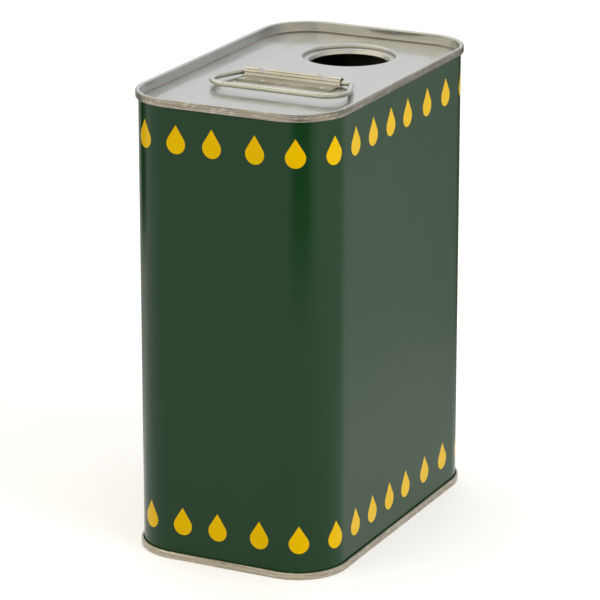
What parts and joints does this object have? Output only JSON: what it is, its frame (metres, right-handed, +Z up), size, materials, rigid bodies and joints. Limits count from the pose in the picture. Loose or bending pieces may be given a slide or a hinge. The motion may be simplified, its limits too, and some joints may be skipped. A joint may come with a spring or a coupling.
{
  "type": "olive oil tin",
  "caption": "Rectangular tinplate oil tin with double-seamed ends, a recessed round spout opening and a folding wire handle on its lid.",
  "frame": {"origin": "middle of the surface the tin stands on", "axes": "+Z up; the narrow faces look along Y and the wide faces along X; the handle lies towards -Y and the neck is towards +Y"},
  "size_m": [0.0882, 0.1446, 0.186],
  "materials": {
    "lacquered_body": "glossy",
    "tinplate": "satin",
    "strap_tinplate": "satin",
    "wire": "satin",
    "compound": "matte"
  },
  "bodies": {
    "tin": {"body_shell": "lacquered_body", "top_end": "tinplate", "bottom_end": "tinplate", "top_seam_compound": "compound", "bottom_seam_compound": "compound", "handle_strap": "strap_tinplate"},
    "handle": {"handle_wire": "wire"}
  },
  "joints": [
    {"name": "handle_hinge", "type": "hinge", "parent": "tin", "child": "handle", "pos_m": [0, -0.0083, 0.1834], "axis": [-1, 0, 0], "range_deg": [0, 178]}
  ]
}
